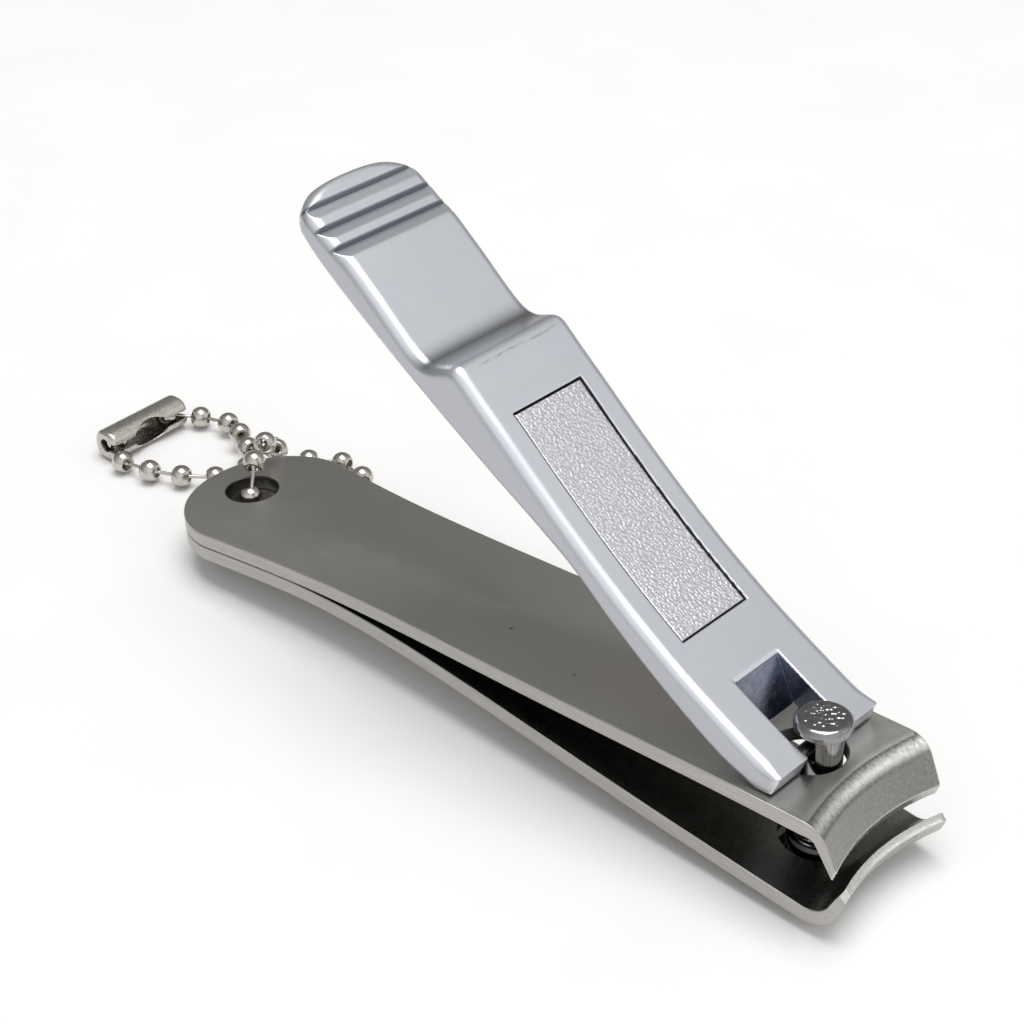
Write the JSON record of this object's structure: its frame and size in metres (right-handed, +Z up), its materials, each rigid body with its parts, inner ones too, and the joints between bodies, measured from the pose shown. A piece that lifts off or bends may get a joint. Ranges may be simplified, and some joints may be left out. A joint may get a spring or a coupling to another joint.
{
  "type": "nail clipper",
  "caption": "Toenail clipper with sprung stainless jaws, a raised die-cast lever with an inlaid file on a swivelling post, and a loop of ball chain through the rear hole.",
  "frame": {"origin": "centre of the post foot's flat underside, on the post axis, on the surface the clipper stands on", "axes": "+X along the jaws towards the cutting edges, +Y across the jaws, +Z up from the surface the open clipper stands on"},
  "size_m": [0.1048, 0.0251, 0.0466],
  "materials": {
    "jaw_steel": "fine satin brushed stainless, ground edges brighter",
    "post_chrome": "polished, head marked with small hammered dimples",
    "pin_steel": "polished",
    "lever_satin": "satin pearl plating on a zinc casting",
    "file_etched": "etched fine stipple",
    "chain_nickel": "bright nickel",
    "link_nickel": "bright nickel wire",
    "connector_nickel": "nickel plated sheet, lightly worn"
  },
  "bodies": {
    "lower_jaw_body": {"lower_jaw": "jaw_steel"},
    "upper_jaw_body": {"upper_jaw": "jaw_steel"},
    "post_body": {"post": "post_chrome"},
    "cross_pin_body": {"cross_pin": "pin_steel"},
    "lever_body": {"lever": "lever_satin", "nail_file": "file_etched"},
    "chain_hole_run": {"chain_bead_05": "chain_nickel", "chain_bead_06": "chain_nickel", "chain_bead_07": "chain_nickel", "chain_bead_08": "chain_nickel", "chain_bead_09": "chain_nickel", "chain_bead_10": "chain_nickel", "chain_bead_11": "chain_nickel", "chain_bead_12": "chain_nickel", "chain_bead_13": "chain_nickel", "chain_bead_14": "chain_nickel", "chain_bead_15": "chain_nickel", "chain_bead_16": "chain_nickel", "chain_bead_17": "chain_nickel", "chain_bead_18": "chain_nickel", "chain_bead_19": "chain_nickel", "chain_bead_20": "chain_nickel", "chain_bead_21": "chain_nickel", "chain_link_04": "link_nickel", "chain_link_05": "link_nickel", "chain_link_06": "link_nickel", "chain_link_07": "link_nickel", "chain_link_08": "link_nickel", "chain_link_09": "link_nickel", "chain_link_10": "link_nickel", "chain_link_11": "link_nickel", "chain_link_12": "link_nickel", "chain_link_13": "link_nickel", "chain_link_14": "link_nickel", "chain_link_15": "link_nickel", "chain_link_16": "link_nickel", "chain_link_17": "link_nickel", "chain_link_18": "link_nickel", "chain_link_19": "link_nickel", "chain_link_20": "link_nickel", "chain_link_21": "link_nickel"},
    "chain_middle_run": {"chain_bead_04": "chain_nickel", "chain_bead_03": "chain_nickel", "chain_bead_22": "chain_nickel", "chain_link_02": "link_nickel", "chain_link_03": "link_nickel", "chain_link_22": "link_nickel"},
    "chain_outer_run": {"chain_bead_02": "chain_nickel", "chain_bead_01": "chain_nickel", "chain_bead_23": "chain_nickel", "chain_bead_24": "chain_nickel", "chain_bead_25": "chain_nickel", "chain_link_01": "link_nickel", "chain_link_23": "link_nickel", "chain_link_24": "link_nickel"},
    "connector_body": {"chain_connector": "connector_nickel"}
  },
  "joints": [
    {"name": "jaw_squeeze", "type": "hinge", "parent": "lower_jaw_body", "child": "upper_jaw_body", "pos_m": [-0.05943, 0, 0.00547], "axis": [0, 1, 0], "range_deg": [0, 1.51]},
    {"name": "post_swivel", "type": "hinge", "parent": "lower_jaw_body", "child": "post_body", "pos_m": [-0.00052, 0, 0.01099], "axis": [-0.0475, 0, 0.9989], "continuous": true},
    {"name": "lever_fold", "type": "hinge", "parent": "post_body", "child": "cross_pin_body", "pos_m": [-0.00117, 0, 0.0125], "axis": [0, 1, 0], "range_deg": [0, 138]},
    {"name": "lever_press", "type": "hinge", "parent": "cross_pin_body", "child": "lever_body", "pos_m": [-0.00117, 0, 0.0125], "axis": [0, -1, 0], "range_deg": [0, 30]},
    {"name": "chain_swing", "type": "hinge", "parent": "lower_jaw_body", "child": "chain_hole_run", "pos_m": [-0.07164, 0, 0.00442], "axis": [0, 0, 1], "range_deg": [-4, 4]},
    {"name": "chain_fold_inner", "type": "hinge", "parent": "chain_hole_run", "child": "chain_middle_run", "pos_m": [-0.08537, 0.00588, 0.00161], "axis": [-0.1023, 0.9908, 0.0886], "range_deg": [0, 18]},
    {"name": "chain_fold_outer", "type": "hinge", "parent": "chain_middle_run", "child": "chain_outer_run", "pos_m": [-0.09045, 0.00515, 0.0012], "axis": [-0.3805, 0.9248, -0.0002], "range_deg": [0, 10]},
    {"name": "connector_roll", "type": "hinge", "parent": "chain_outer_run", "child": "connector_body", "pos_m": [-0.09508, 0.0043, 0.00172], "axis": [-0.0373, 0.9993, 0], "range_deg": [-5, 5]}
  ],
  "couplings": [
    {"joint": "jaw_squeeze", "follows": "lever_press", "ratio": 0.05}
  ]
}
